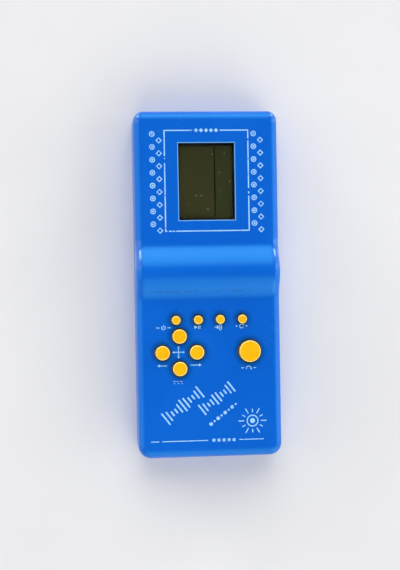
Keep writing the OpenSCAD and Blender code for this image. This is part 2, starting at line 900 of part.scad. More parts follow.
// Tube along a route, its rings carried along without twist
function unit(v) = v / norm(v);
function heading(p, i) = unit(p[min(i + 1, len(p) - 1)] - p[max(i - 1, 0)]);
function square_to(v, t) = unit(v - (v * t) * t);
function carried(p, v, i) = i == len(p)
  ? []
  : let(n = square_to(v, heading(p, i))) concat([n], carried(p, n, i + 1));
function tube_rings(p, r, n, first) =
  let(side = carried(p, first, 0))
  [for (i = [0:len(p) - 1], k = [0:n - 1])
    p[i] + r * (cos(360 * k / n) * side[i] + sin(360 * k / n) * cross(heading(p, i), side[i]))];
function tube_faces(m, n) = concat(
  [[for (k = [0:n - 1]) k]],
  [for (i = [0:m - 2], k = [0:n - 1])
    [(i + 1) * n + k, (i + 1) * n + (k + 1) % n, i * n + (k + 1) % n, i * n + k]],
  [[for (k = [0:n - 1]) m * n - 1 - k]]
);
module tube(p, r, n, first) {
  polyhedron(tube_rings(p, r, n, first), tube_faces(len(p), n));
}

// Contact spring from the plate at x = 0 to the cell at x = spring_l
spring_rings = 16;
spring_steps = spring_rings * spring_turns;
spring_route = concat(
  [[0, spring_r1, 0]],
  [for (i = [0:spring_steps])
    let(t = i / spring_steps, a = 360 * spring_turns * t, r = spring_r1 + (spring_r2 - spring_r1) * t)
    [spring_wire + (spring_l - 2 * spring_wire) * t, r * cos(a), r * sin(a)]],
  [[spring_l, spring_r2 * cos(360 * spring_turns), spring_r2 * sin(360 * spring_turns)]]
);
spring_last = len(spring_route) - 1;
spring_gap = min([for (i = [0:spring_last], j = [i + spring_rings / 2:1:spring_last])
  norm(spring_route[i] - spring_route[j])]) - spring_wire;
echo(spring_gap = spring_gap);

// Contact plate on the end wall at the left of the bay, with the solder tag through the roof
module tag_plate(y) {
  translate([-bay_half, y - plate_w / 2, cell_z - plate_w / 2])
    cube([plate_t, plate_w, plate_w]);
  translate([-bay_half, y - tag_w / 2, cell_z])
    cube([plate_t, tag_w, tag_top - cell_z]);
}

module bump() {
  rotate([0, 90, 0])
    cylinder(h = bump_h, r1 = nub_d / 2, r2 = nub_d / 3);
}

module positive_contact() {
  color(metal) {
    tag_plate(low_cell_y);
    translate([tag_face, low_cell_y, cell_z])
      bump();
  }
}

module negative_contact() {
  color(metal) {
    tag_plate(high_cell_y);
    translate([tag_face, high_cell_y, cell_z])
      tube(spring_route, spring_wire / 2, 6, [0, 1, 0]);
  }
}

module bridge_contact() {
  color(metal) {
    translate([bay_half - plate_t, low_cell_y - plate_w / 2, cell_z - plate_w / 2])
      cube([plate_t, high_cell_y - low_cell_y + plate_w, plate_w]);
    translate([-tag_face, high_cell_y, cell_z])
      rotate([0, 0, 180])
        bump();
    translate([-tag_face, low_cell_y, cell_z])
      rotate([0, 0, 180])
        tube(spring_route, spring_wire / 2, 6, [0, 1, 0]);
  }
}

module buzzer_disc() {
  color([0.8, 0.65, 0.3])
    translate([0, disc_y, wall])
      cylinder(h = disc_t, d = disc_d);
}

module buzzer_ceramic() {
  color([0.9, 0.9, 0.85])
    translate([0, disc_y, disc_z])
      cylinder(h = ceramic_t, d = ceramic_d);
}

module battery_leads() {
  color([0.7, 0.1, 0.1])
    tube(tag_route(low_cell_y, lead_start + lead_apart), lead_d / 2, 10, [0, 1, 0]);
  color([0.1, 0.1, 0.1])
    tube(tag_route(high_cell_y, lead_start), lead_d / 2, 10, [0, 1, 0]);
}

module buzzer_leads() {
  color([0.85, 0.85, 0.8]) {
    tube(disc_route(disc_d / 2 - disc_lead_in, disc_z), lead_d / 2, 10, [1, 0, 0]);
    tube(disc_route(ceramic_d / 4, disc_z + ceramic_t), lead_d / 2, 10, [1, 0, 0]);
  }
}

// Screw pointing up with its head below z = 0 and a cross slot in the head
module screw(l) {
  difference() {
    union() {
      translate([0, 0, -head_h])
        cylinder(h = head_h, d = head_d);
      translate([0, 0, -head_h / 2])
        cylinder(h = l + head_h / 2, d = screw_d);
    }
    for (a = [0, 90])
      rotate([0, 0, a])
        translate([-head_d / 3, -slot_w / 2, -head_h - cut])
          cube([2 * head_d / 3, slot_w, slot_d + cut]);
  }
}

module case_screws() {
  color(metal)
    for (p = case_screw_at)
      translate([p[0], p[1], seat_deep])
        screw(case_screw_l);
}

module board_screws() {
  color(metal)
    for (p = board_screw_at)
      translate([p[0], p[1], board_low])
        screw(board_screw_l);
}

front_shell();
rear_shell();
battery_door();
screen_window();
lcd_glass();
lcd_front_polariser();
lcd_rear_polariser();
zebra_strip();
lcd_foam();
circuit_board();
chip_blob();
capacitor();
resistors();
rubber_keypad();
aa_cell(bay_half - plate_t - spring_l, low_cell_y, -1);  // aa_cell_low
aa_cell(plate_t + spring_l - bay_half, high_cell_y, 1);  // aa_cell_high
positive_contact();
negative_contact();
bridge_contact();
buzzer_disc();
buzzer_ceramic();
battery_leads();
buzzer_leads();
case_screws();
board_screws();
for (b = buttons) {
  button(b);
  pill(b);
}
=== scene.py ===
import math

import bmesh
import bpy
from mathutils import Matrix, Vector


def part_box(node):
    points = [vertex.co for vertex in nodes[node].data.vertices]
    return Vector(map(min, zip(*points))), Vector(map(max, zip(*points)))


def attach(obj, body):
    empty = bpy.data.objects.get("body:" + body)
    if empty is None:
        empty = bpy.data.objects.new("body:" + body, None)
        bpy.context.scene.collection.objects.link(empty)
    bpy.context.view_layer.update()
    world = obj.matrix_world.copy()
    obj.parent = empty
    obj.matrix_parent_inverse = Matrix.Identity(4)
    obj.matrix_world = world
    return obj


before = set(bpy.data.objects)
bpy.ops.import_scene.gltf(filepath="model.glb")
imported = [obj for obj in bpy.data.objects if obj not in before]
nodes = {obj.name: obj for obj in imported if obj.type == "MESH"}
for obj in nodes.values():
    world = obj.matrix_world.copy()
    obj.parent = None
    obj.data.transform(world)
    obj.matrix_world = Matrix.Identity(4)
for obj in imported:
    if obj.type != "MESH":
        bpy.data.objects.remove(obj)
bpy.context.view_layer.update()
mm = 0.001
print("frame loaded:", len(nodes), "nodes")


# Colours are written as they look on screen, 0 to 255
def colour(red, green, blue):
    parts = []
    for value in (red, green, blue):
        share = value / 255
        parts.append(share / 12.92 if share <= 0.04045 else ((share + 0.055) / 1.055) ** 2.4)
    return (*parts, 1)


# The view is almost square above the face, a little to the left of it and a touch rolled
photoView = {
    "target": (0, 0, 24), "distance": 600,
    "yaw": 5.93, "pitch": -0.65, "roll": -0.98,
    "aimRight": -4.44, "aimUp": -0.39,
    "focalPixels": 1158, "imageTall": 570, "sensor": 36,
}


def addCamera(s):
    yaw, pitch, roll = (math.radians(s[key]) for key in ("yaw", "pitch", "roll"))
    back = Vector((-math.sin(yaw) * math.cos(pitch), -math.sin(pitch), math.cos(yaw) * math.cos(pitch)))
    level = (-back).cross(Vector((0, 1, 0))).normalized()
    upright = back.cross(level)
    right = math.cos(roll) * level + math.sin(roll) * upright
    up = math.cos(roll) * upright - math.sin(roll) * level
    place = Vector(s["target"]) + s["distance"] * back
    aim = Vector(s["target"]) + s["aimRight"] * right + s["aimUp"] * up
    back = (place - aim).normalized()
    right = (right - right.dot(back) * back).normalized()
    up = back.cross(right)
    bpy.ops.object.camera_add()
    camera = bpy.context.active_object
    camera.name = "photoCamera"
    turn = Matrix((right, up, back)).transposed().to_4x4()
    camera.matrix_world = Matrix.Translation(place * mm) @ turn
    camera.data.sensor_width = s["sensor"]
    camera.data.lens = s["sensor"] * s["focalPixels"] / s["imageTall"]
    camera.data.clip_start = 0.01
    bpy.context.scene.camera = camera


addCamera(photoView)
bpy.context.scene.view_settings.view_transform = "Standard"
print("camera placed")

# Broad soft lamps stand round the object as a light tent does
# The ceiling is dark, so flat faces keep their colour
studio = {
    "lamps": {
        "screenEnd": {"way": 90, "lift": 40, "spread": 50, "power": 1.66},
        "screenEndLow": {"way": 90, "lift": 20, "spread": 30, "power": 0.22},
        "keypadEnd": {"way": 270, "lift": 35, "spread": 66, "power": 1.48},
        "lowerRight": {"way": 312, "lift": 22, "spread": 40, "power": 0.90},
        "right": {"way": 0, "lift": 24, "spread": 44, "power": 0.95},
        "left": {"way": 180, "lift": 26, "spread": 44, "power": 0.72},
        "leftCorner": {"way": 134, "lift": 9, "spread": 20, "power": 1.15},
        "rightCorner": {"way": 50, "lift": 7, "spread": 20, "power": 1.05},
    },
    "horizon": 0.85, "room": 0.06, "ceiling": 0.03,
    "horizonEnds": (0.05, 0.16), "ceilingStarts": (0.6, 0.95), "tint": (250, 252, 255),
    "floorSide": 6000, "floorColour": (230, 230, 232), "floorShade": (227, 227, 229),
}


def addLights(s):
    for name, lamp in s["lamps"].items():
        bpy.ops.object.light_add(type="SUN")
        light = bpy.context.active_object
        light.name = name
        light.data.energy = lamp["power"]
        light.data.angle = math.radians(lamp["spread"])
        light.rotation_euler = (0, math.radians(90 - lamp["lift"]), math.radians(lamp["way"]))


def addWorld(s):
    world = bpy.data.worlds.new("studioRoom")
    bpy.context.scene.world = world
    world.use_nodes = True
    tree = world.node_tree
    back = tree.nodes["Background"]
    back.inputs["Color"].default_value = colour(*s["tint"])
    way = put(tree, "ShaderNodeTexCoord").outputs["Generated"]
    height = axes(tree, way)["Z"]
    low = ease(tree, height, *s["horizonEnds"], s["horizon"], s["room"])
    high = ease(tree, height, *s["ceilingStarts"], 0.0, s["room"] - s["ceiling"])
    tree.links.new(calc(tree, "SUBTRACT", low, high), back.inputs["Strength"])


# Node helpers: a value may be a number, a colour or another node's output
def put(tree, kind, values=None, **settings):
    node = tree.nodes.new(kind)
    for key, value in settings.items():
        setattr(node, key, value)
    for socket, value in (values or {}).items():
        if isinstance(value, bpy.types.NodeSocket):
            tree.links.new(value, node.inputs[socket])
        else:
            node.inputs[socket].default_value = value
    return node


def calc(tree, operation, first, second=0.0, third=0.0):
    return put(tree, "ShaderNodeMath", {0: first, 1: second, 2: third}, operation=operation).outputs[0]


def mixColour(tree, factor, first, second):
    return put(tree, "ShaderNodeMix", {0: factor, 6: first, 7: second}, data_type="RGBA").outputs[2]


def ease(tree, value, low, high, toLow=0.0, toHigh=1.0):
    return put(tree, "ShaderNodeMapRange", {
        "Value": value, "From Min": low, "From Max": high, "To Min": toLow, "To Max": toHigh,
    }, interpolation_type="SMOOTHSTEP").outputs["Result"]


def noise(tree, place, scale, detail=1.0):
    return put(tree, "ShaderNodeTexNoise", {"Vector": place, "Scale": scale, "Detail": detail}).outputs["Fac"]


def axes(tree, place):
    return put(tree, "ShaderNodeSeparateXYZ", {"Vector": place}).outputs


# Mask of a stretch along one axis, with soft ends, in millimetres
def stretch(tree, value, low, high, soft=0.05):
    start = ease(tree, value, (low - soft) * mm, (low + soft) * mm)
    stop = ease(tree, value, (high - soft) * mm, (high + soft) * mm, 1.0, 0.0)
    return calc(tree, "MULTIPLY", start, stop)


# Mask of where all the given masks show
def allOf(tree, first, *others):
    for mask in others:
        first = calc(tree, "MULTIPLY", first, mask)
    return first


# Lays a tone over a base where the mask shows, at a share of its full strength
def lay(tree, base, tone, mask, share=1.0):
    if share < 1:
        mask = calc(tree, "MULTIPLY", mask, share)
    return mixColour(tree, mask, base, colour(*tone))


def inMetres(pair):
    return [value * mm for value in pair]


def newMaterial(name):
    material = bpy.data.materials.new(name)
    material.use_nodes = True
    tree = material.node_tree
    place = put(tree, "ShaderNodeTexCoord").outputs["Object"]
    return material, tree, tree.nodes["Principled BSDF"], place


def newGroup(name, inputs, outputs):
    tree = bpy.data.node_groups.new(name, "ShaderNodeTree")
    for label, kind, value in inputs:
        socket = tree.interface.new_socket(name=label, in_out="INPUT", socket_type="NodeSocket" + kind)
        if value is not None:
            socket.default_value = value
    for label, kind in outputs:
        tree.interface.new_socket(name=label, in_out="OUTPUT", socket_type="NodeSocket" + kind)
    return tree, put(tree, "NodeGroupInput").outputs, put(tree, "NodeGroupOutput").inputs


def fillGroup(tree, group, values):
    return put(tree, "ShaderNodeGroup", values, node_tree=group).outputs


# Moulded grain: a fine tooth from the tool and the slow waves of cooled plastic
def makeGrain():
    tree, given, out = newGroup("mouldedGrain", [
        ("Place", "Vector", None), ("Tooth", "Float", 1800.0), ("Waves", "Float", 70.0),
        ("Wave share", "Float", 0.5), ("Rough low", "Float", 0.3), ("Rough high", "Float", 0.4),
    ], [("Height", "Float"), ("Roughness", "Float")])
    tooth = noise(tree, given["Place"], given["Tooth"], 2.0)
    waves = noise(tree, given["Place"], given["Waves"])
    mixed = put(tree, "ShaderNodeMix", {0: given["Wave share"], 2: tooth, 3: waves}, data_type="FLOAT")
    rough = put(tree, "ShaderNodeMapRange", {
        "Value": tooth, "From Min": 0.3, "From Max": 0.7,
        "To Min": given["Rough low"], "To Max": given["Rough high"]})
    tree.links.new(mixed.outputs[0], out["Height"])
    tree.links.new(rough.outputs["Result"], out["Roughness"])
    return tree


# Colour drift: two close tones that wander into each other
def makeDrift():
    tree, given, out = newGroup("colourDrift", [
        ("Place", "Vector", None), ("Scale", "Float", 25.0),
        ("First", "Color", (0.8, 0.8, 0.8, 1)), ("Second", "Color", (0.7, 0.7, 0.7, 1)),
    ], [("Colour", "Color")])
    share = ease(tree, noise(tree, given["Place"], given["Scale"], 3.0), 0.35, 0.65)
    tree.links.new(mixColour(tree, share, given["First"], given["Second"]), out["Colour"])
    return tree


# Hairlines: fine handling scratches, drawn out along one way and broken into patches
hairlineLook = {"drawn": (40.0, 2600.0, 40.0), "edge": 0.03, "patch": 55.0, "patchEnds": (0.52, 0.62)}


def makeHairlines(s):
    tree, given, out = newGroup("hairlines", [
        ("Place", "Vector", None), ("Turn", "Float", 0.6), ("Cut", "Float", 0.7),
    ], [("Mask", "Float")])
    turned = put(tree, "ShaderNodeVectorRotate", {
        "Vector": given["Place"], "Angle": given["Turn"]}, rotation_type="Z_AXIS")
    drawn = put(tree, "ShaderNodeMapping", {"Vector": turned.outputs[0], "Scale": s["drawn"]})
    thin = put(tree, "ShaderNodeMapRange", {
        "Value": noise(tree, drawn.outputs[0], 1.0), "From Min": given["Cut"],
        "From Max": calc(tree, "ADD", given["Cut"], s["edge"])})
    some = ease(tree, noise(tree, given["Place"], s["patch"]), *s["patchEnds"])
    tree.links.new(calc(tree, "MULTIPLY", thin.outputs["Result"], some), out["Mask"])
    return tree


# Specks: a few small dust grains, most cells of the pattern stay empty
def makeSpecks():
    tree, given, out = newGroup("dustSpecks", [
        ("Place", "Vector", None), ("Scale", "Float", 140.0),
        ("Size", "Float", 0.05), ("Share", "Float", 0.12),
    ], [("Mask", "Float")])
    cells = put(tree, "ShaderNodeTexVoronoi", {"Vector": given["Place"], "Scale": given["Scale"]})
    dots = calc(tree, "LESS_THAN", cells.outputs["Distance"], given["Size"])
    pick = put(tree, "ShaderNodeSeparateColor", {"Color": cells.outputs["Color"]})
    kept = calc(tree, "LESS_THAN", pick.outputs[0], given["Share"])
    tree.links.new(calc(tree, "MULTIPLY", dots, kept), out["Mask"])
    return tree


grain = makeGrain()
drift = makeDrift()
hairlines = makeHairlines(hairlineLook)
specks = makeSpecks()


def roughen(tree, shader, place, tooth, waves, share, low, high, depth):
    made = fillGroup(tree, grain, {
        "Place": place, "Tooth": tooth, "Waves": waves, "Wave share": share,
        "Rough low": low, "Rough high": high})
    bump = put(tree, "ShaderNodeBump", {"Strength": 1.0, "Distance": depth * mm, "Height": made["Height"]})
    tree.links.new(made["Roughness"], shader.inputs["Roughness"])
    tree.links.new(bump.outputs["Normal"], shader.inputs["Normal"])


def twoTones(tree, place, scale, first, second):
    return fillGroup(tree, drift, {
        "Place": place, "Scale": scale, "First": colour(*first), "Second": colour(*second)})["Colour"]


def scratchMarks(tree, place, s):
    return fillGroup(tree, hairlines, {"Place": place, **s["scratches"]})["Mask"]


def dustMarks(tree, place, s):
    return fillGroup(tree, specks, {"Place": place, **s["dust"]})["Mask"]


# White print: it has rubbed thin in patches, where the blue of the shell comes through
inkLook = {
    "white": (160, 214, 253), "cool": (148, 204, 251), "drift": 120.0,
    "thin": (60, 132, 228), "wearFine": 900.0, "wearPatch": 90.0, "wearShare": 0.8,
    "grain": {"tooth": 1900.0, "waves": 300.0, "share": 0.4, "low": 0.42, "high": 0.56, "depth": 0.006},
    "level": 23.99, "film": 0.04,
}


def inkWhite(s):
    material, tree, shader, place = newMaterial("inkWhite")
    base = twoTones(tree, place, s["drift"], s["white"], s["cool"])
    fine = ease(tree, noise(tree, place, s["wearFine"], 2.0), 0.54, 0.68)
    patch = ease(tree, noise(tree, place, s["wearPatch"]), 0.42, 0.62)
    base = lay(tree, base, s["thin"], allOf(tree, fine, patch), s["wearShare"])
    tree.links.new(base, shader.inputs["Base Color"])
    roughen(tree, shader, place, **s["grain"])
    return material


# Blue moulded shell with handling marks and one row of faint rubs on the hump's lower flank
shellLook = {
    "blue": (12, 96, 208), "deepBlue": (10, 92, 204), "drift": 22.0,
    "rubbed": (18, 74, 170), "rubLine": -3.6, "rubHalf": 0.45, "rubFrom": 25.0,
    "rubs": [(-30.2, -23.8), (-22.4, -15.0), (-12.9, -5.1), (2.7, 5.8), (11.9, 21.5)],
    "rubEnds": 0.8, "rubSides": 0.25, "rubPatch": 260.0, "rubShare": 0.85,
    "rimHighlightPale": (128, 186, 232), "rimX": 15.25, "rimLow": 32.7, "rimHigh": 73.9,
    "rimFrom": 23.35, "rimTo": 23.8, "rimSoft": 0.01, "rimShare": 0.75,
    # Colour and reach of the painted shade ring round the buttons
    "paintedShadeBlue": (9, 76, 165), "shadeReach": (0.5, 3.8), "buttonFlange": 1.1,
    "scratched": (90, 150, 230), "scratches": {"Turn": 0.7, "Cut": 0.68}, "scratchShare": 0.2,
    "dusty": (120, 170, 235), "dust": {"Scale": 200.0, "Size": 0.04, "Share": 0.6}, "dustShare": 0.5,
    "grain": {"tooth": 1600.0, "waves": 60.0, "share": 0.6, "low": 0.3, "high": 0.4, "depth": 0.012},
    "refraction": 1.59, "shine": 0.52, "gloss": (0.0, 0.9, 1.0, 1),
    "polishX": (33.4, 34.6), "polishTop": (83.0, 85.0), "polishUp": (17.5, 21.5),
    "polishHump": (8.0, 23.0), "polishSoft": 1.5,
    "coat": 0.2, "polishedCoat": 1.0, "coatRough": 0.28,
}


def middleOf(node):
    low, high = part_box(node)
    return (low[0] + high[0]) / 2 / mm, (low[1] + high[1]) / 2 / mm


# Painted shade on the panel round every button: the blue turns darker close to each hole, where the raised
# buttons shade it
def buttonShadeRing(tree, place, s):
    grimeAndShade = 0.0
    for name in nodes:
        if name.startswith("button_"):
            low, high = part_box(name)
            middle = Vector((*middleOf(name), inkLook["level"])) * mm
            apart = put(tree, "ShaderNodeVectorMath", {0: place, 1: middle}, operation="DISTANCE")
            edge = (high[0] - low[0]) / 2 / mm - s["buttonFlange"]
            near, far = [(edge + reach) * mm for reach in s["shadeReach"]]
            spot = ease(tree, apart.outputs["Value"], near, far, 1.0, 0.0)
            grimeAndShade = calc(tree, "MAXIMUM", grimeAndShade, spot)
    return grimeAndShade


# Rubs in a row along the hump's lower flank
def humpRubs(tree, place, along, s):
    rows = 0.0
    for start, stop in s["rubs"]:
        rows = calc(tree, "ADD", rows, stretch(tree, along["X"], start, stop, s["rubEnds"]))
    low, high = s["rubLine"] - s["rubHalf"], s["rubLine"] + s["rubHalf"]
    line = stretch(tree, along["Y"], low, high, s["rubSides"])
    patchy = ease(tree, noise(tree, place, s["rubPatch"]), 0.3, 0.55)
    raised = calc(tree, "GREATER_THAN", along["Z"], s["rubFrom"] * mm)
    return allOf(tree, line, rows, patchy, raised)


# Painted highlight on the bevel round the window opening: a pale band where the bevel would catch the light
def windowRim(tree, along, s):
    across = stretch(tree, along["X"], -s["rimX"], s["rimX"], s["rimSoft"])
    down = stretch(tree, along["Y"], s["rimLow"], s["rimHigh"], s["rimSoft"])
    tall = stretch(tree, along["Z"], s["rimFrom"], s["rimTo"], s["rimSoft"])
    return allOf(tree, across, down, tall)


# Side edges that hands have polished, by the hump and at the screen end
def polishedEdges(tree, along, s):
    side = ease(tree, calc(tree, "ABSOLUTE", along["X"]), *inMetres(s["polishX"]))
    top = ease(tree, along["Y"], *inMetres(s["polishTop"]))
    handled = calc(tree, "ADD", top, stretch(tree, along["Y"], *s["polishHump"], s["polishSoft"]))
    raised = ease(tree, along["Z"], *inMetres(s["polishUp"]))
    return allOf(tree, side, handled, raised)


def shellBlue(s):
    material, tree, shader, place = newMaterial("shellBlue")
    along = axes(tree, place)
    base = twoTones(tree, place, s["drift"], s["blue"], s["deepBlue"])
    base = lay(tree, base, s["rubbed"], humpRubs(tree, place, along, s), s["rubShare"])
    # painted highlight: pale band on the bevel round the window opening
    base = lay(tree, base, s["rimHighlightPale"], windowRim(tree, along, s), s["rimShare"])
    # painted shade: a darker ring on the panel round each button
    base = lay(tree, base, s["paintedShadeBlue"], buttonShadeRing(tree, place, s))
    base = lay(tree, base, s["scratched"], scratchMarks(tree, place, s), s["scratchShare"])
    base = lay(tree, base, s["dusty"], dustMarks(tree, place, s), s["dustShare"])
    tree.links.new(base, shader.inputs["Base Color"])
    roughen(tree, shader, place, **s["grain"])
    shader.inputs["IOR"].default_value = s["refraction"]
    shader.inputs["Specular IOR Level"].default_value = s["shine"]
    shader.inputs["Specular Tint"].default_value = s["gloss"]
    polish = polishedEdges(tree, along, s)
    tree.links.new(ease(tree, polish, 0.0, 1.0, s["coat"], s["polishedCoat"]), shader.inputs["Coat Weight"])
    shader.inputs["Coat Roughness"].default_value = s["coatRough"]
    return material


# Yellow buttons: their rounded edges are paler, partly as wear from thumbs and partly as a painted highlight
buttonLook = {
    "yellow": (249, 190, 8), "amber": (247, 182, 4), "drift": 160.0,
    "pale": (255, 234, 152), "edgeFlat": (0.985, 0.865), "edgeSteep": (0.15, 0.35), "edgeShare": 0.95,
    "grimeAndShade": (205, 140, 20), "grimeScale": 420.0, "grimeShare": 0.12,
    "grain": {"tooth": 2200.0, "waves": 150.0, "share": 0.4, "low": 0.26, "high": 0.36, "depth": 0.008},
    "shine": 0.35, "coat": 0.8, "coatRough": 0.14,
}


def buttonYellow(s):
    material, tree, shader, place = newMaterial("buttonYellow")
    base = twoTones(tree, place, s["drift"], s["yellow"], s["amber"])
    facing = axes(tree, put(tree, "ShaderNodeTexCoord").outputs["Normal"])["Z"]
    # pale edge band: partly rubbed wear, partly a painted highlight on the rounded rim
    wornAndHighlight = allOf(tree, ease(tree, facing, *s["edgeFlat"]), ease(tree, facing, *s["edgeSteep"]))
    base = lay(tree, base, s["pale"], wornAndHighlight, s["edgeShare"])
    grimeAndShade = ease(tree, noise(tree, place, s["grimeScale"], 2.0), 0.6, 0.75)
    base = lay(tree, base, s["grimeAndShade"], grimeAndShade, s["grimeShare"])
    tree.links.new(base, shader.inputs["Base Color"])
    roughen(tree, shader, place, **s["grain"])
    shader.inputs["Specular IOR Level"].default_value = s["shine"]
    shader.inputs["Coat Weight"].default_value = s["coat"]
    shader.inputs["Coat Roughness"].default_value = s["coatRough"]
    return material


# Clear window: its refraction is low, as with an anti-glare coat, so the display shows at a slant too
windowLook = {
    "clear": (244, 247, 243), "refraction": 1.12, "rough": (0.03, 0.25),
    "scratches": {"Turn": -0.5, "Cut": 0.7},
}


def windowClear(s):
    material, tree, shader, place = newMaterial("windowClear")
    shader.inputs["Base Color"].default_value = colour(*s["clear"])
    shader.inputs["Transmission Weight"].default_value = 1.0
    shader.inputs["IOR"].default_value = s["refraction"]
    marks = scratchMarks(tree, place, s)
    tree.links.new(ease(tree, marks, 0.0, 1.0, *s["rough"]), shader.inputs["Roughness"])
    return material


# Display film: dark olive with one dark bar that parts the play field from the score column
displayLook = {
    "olive": (70, 67, 40), "green": (66, 65, 40), "drift": 60.0,
    "column": (61, 65, 41), "columnShare": 0.8,
    "bar": (12, 14, 5), "barX": 4.45, "barHalf": 0.36, "barSoft": 0.12, "barTop": 71.4, "barLow": 35.4,
    "speck": (170, 172, 150), "dust": {"Scale": 330.0, "Size": 0.12, "Share": 0.35}, "dustShare": 0.6,
    "scratches": {"Turn": -0.5, "Cut": 0.7}, "scratchShare": 0.12,
    "grain": {"tooth": 900.0, "waves": 200.0, "share": 0.3, "low": 0.45, "high": 0.55, "depth": 0.004},
    "shine": 0.04,
}


def displayFilm(s):
    material, tree, shader, place = newMaterial("displayFilm")
    along = axes(tree, place)
    base = twoTones(tree, place, s["drift"], s["olive"], s["green"])
    side = calc(tree, "GREATER_THAN", along["X"], s["barX"] * mm)
    base = lay(tree, base, s["column"], side, s["columnShare"])
    across = stretch(tree, along["X"], s["barX"] - s["barHalf"], s["barX"] + s["barHalf"], s["barSoft"])
    down = stretch(tree, along["Y"], s["barLow"], s["barTop"])
    base = lay(tree, base, s["bar"], allOf(tree, across, down))
    base = lay(tree, base, s["speck"], dustMarks(tree, place, s), s["dustShare"])
    base = lay(tree, base, s["speck"], scratchMarks(tree, place, s), s["scratchShare"])
    tree.links.new(base, shader.inputs["Base Color"])
    roughen(tree, shader, place, **s["grain"])
    shader.inputs["Specular IOR Level"].default_value = s["shine"]
    return material


# Finishes of the inner pieces: two tones, grain and gloss, and a dress for what is printed or joined on them
def plainFinish(name, first, second, low, high, scale=200.0, tooth=1500.0, depth=0.01, metal=0.0, dress=None):
    material, tree, shader, place = newMaterial(name)
    base = twoTones(tree, place, scale, first, second)
    shader.inputs["Metallic"].default_value = metal
    if dress:
        base, bright = dress(tree, axes(tree, place), place, base)
        if bright:
            tree.links.new(bright, shader.inputs["Metallic"])
    tree.links.new(base, shader.inputs["Base Color"])
    roughen(tree, shader, place, tooth, waves=scale, share=0.4, low=low, high=high, depth=depth)
    return material


# Cells: bare steel ends and a pale band near the raised pole, which points left on the lower cell
cellLook = {
    "splitY": -71.6, "steel": (196, 196, 192), "band": (206, 208, 204), "line": (190, 150, 60),
    "poleEnd": 25.1, "flatEnd": -22.9, "bandFrom": 16.0, "bandTo": 24.4, "lineFrom": 14.2, "lineTo": 15.0,
}


def cellDress(tree, along, place, base):
    s = cellLook
    upper = calc(tree, "GREATER_THAN", along["Y"], s["splitY"] * mm)
    way = calc(tree, "MULTIPLY_ADD", upper, 2.0, -1.0)  # 1 on the upper cell, -1 on the lower one
    toPole = calc(tree, "MULTIPLY", along["X"], way)
    base = lay(tree, base, s["band"], stretch(tree, toPole, s["bandFrom"], s["bandTo"]))
    base = lay(tree, base, s["line"], stretch(tree, toPole, s["lineFrom"], s["lineTo"]))
    bright = calc(tree, "SUBTRACT", 1.0, stretch(tree, toPole, s["flatEnd"], s["poleEnd"]))
    return lay(tree, base, s["steel"], bright), bright


# Board: copper tracks show through the lacquer in straight and slanted runs
boardLook = {"copper": (178, 128, 62), "scale": 260.0, "track": 0.09, "share": 0.7}


def boardDress(tree, along, place, base):
    s = boardLook
    away = []
    for feature in ("F1", "F2"):
        cells = put(tree, "ShaderNodeTexVoronoi", {"Vector": place, "Scale": s["scale"]},
                    feature=feature, distance="CHEBYCHEV")
        away.append(cells.outputs["Distance"])
    track = calc(tree, "LESS_THAN", calc(tree, "SUBTRACT", away[1], away[0]), s["track"])
    return lay(tree, base, s["copper"], track, s["share"]), None


# Capacitor: pale stripe along one side, tinned wires beyond its foot
capacitorLook = {
    "footX": 11.9, "footSoft": 0.1, "tin": (205, 204, 200),
    "stripeFrom": -5.6, "stripeTo": -4.6, "stripe": (160, 164, 172),
}


def capacitorDress(tree, along, place, base):
    s = capacitorLook
    base = lay(tree, base, s["stripe"], stretch(tree, along["Y"], s["stripeFrom"], s["stripeTo"]))
    bright = ease(tree, along["X"], s["footX"] * mm, (s["footX"] - s["footSoft"]) * mm)
    return lay(tree, base, s["tin"], bright), bright


# Resistors: four colour rings on each body, tinned wires at both ends
resistorLook = {
    "middle": -16.0, "half": 1.8, "soft": 0.03, "tin": (205, 204, 200),
    "rings": [(-1.2, (96, 52, 24)), (-0.55, (22, 20, 20)), (0.1, (178, 32, 28)), (1.05, (184, 146, 60))],
    "ringHalf": 0.16,
}


def resistorDress(tree, along, place, base):
    s = resistorLook
    for off, tone in s["rings"]:
        at = s["middle"] + off
        band = stretch(tree, along["X"], at - s["ringHalf"], at + s["ringHalf"], s["soft"])
        base = lay(tree, base, tone, band)
    body = stretch(tree, along["X"], s["middle"] - s["half"], s["middle"] + s["half"], s["soft"])
    bright = calc(tree, "SUBTRACT", 1.0, body)
    return lay(tree, base, s["tin"], bright), bright


# Leads: red to the lower cell, black to the upper one, pale ones to the sounder
leadLook = {"redX": -23.7, "redY": -70.0, "paleX": 0.0, "black": (24, 24, 26), "pale": (214, 210, 198)}


def leadDress(tree, along, place, base):
    s = leadLook
    left = calc(tree, "LESS_THAN", along["X"], s["redX"] * mm)
    upper = calc(tree, "GREATER_THAN", along["Y"], s["redY"] * mm)
    base = lay(tree, base, s["black"], allOf(tree, left, upper))
    right = calc(tree, "GREATER_THAN", along["X"], s["paleX"] * mm)
    return lay(tree, base, s["pale"], right), None


# Contact strip: a dark core of fine layers between pink silicone
zebraLook = {"coreHalf": 0.45, "layers": 1600.0, "dark": (30, 28, 28), "grey": (90, 84, 84)}


def zebraDress(tree, along, place, base):
    s = zebraLook
    middle = middleOf("zebra_strip")[1]
    core = stretch(tree, along["Y"], middle - s["coreHalf"], middle + s["coreHalf"])
    waves = put(tree, "ShaderNodeTexWave", {"Vector": place, "Scale": s["layers"]}, bands_direction="X")
    layered = mixColour(tree, waves.outputs["Fac"], colour(*s["dark"]), colour(*s["grey"]))
    return mixColour(tree, core, base, layered), None


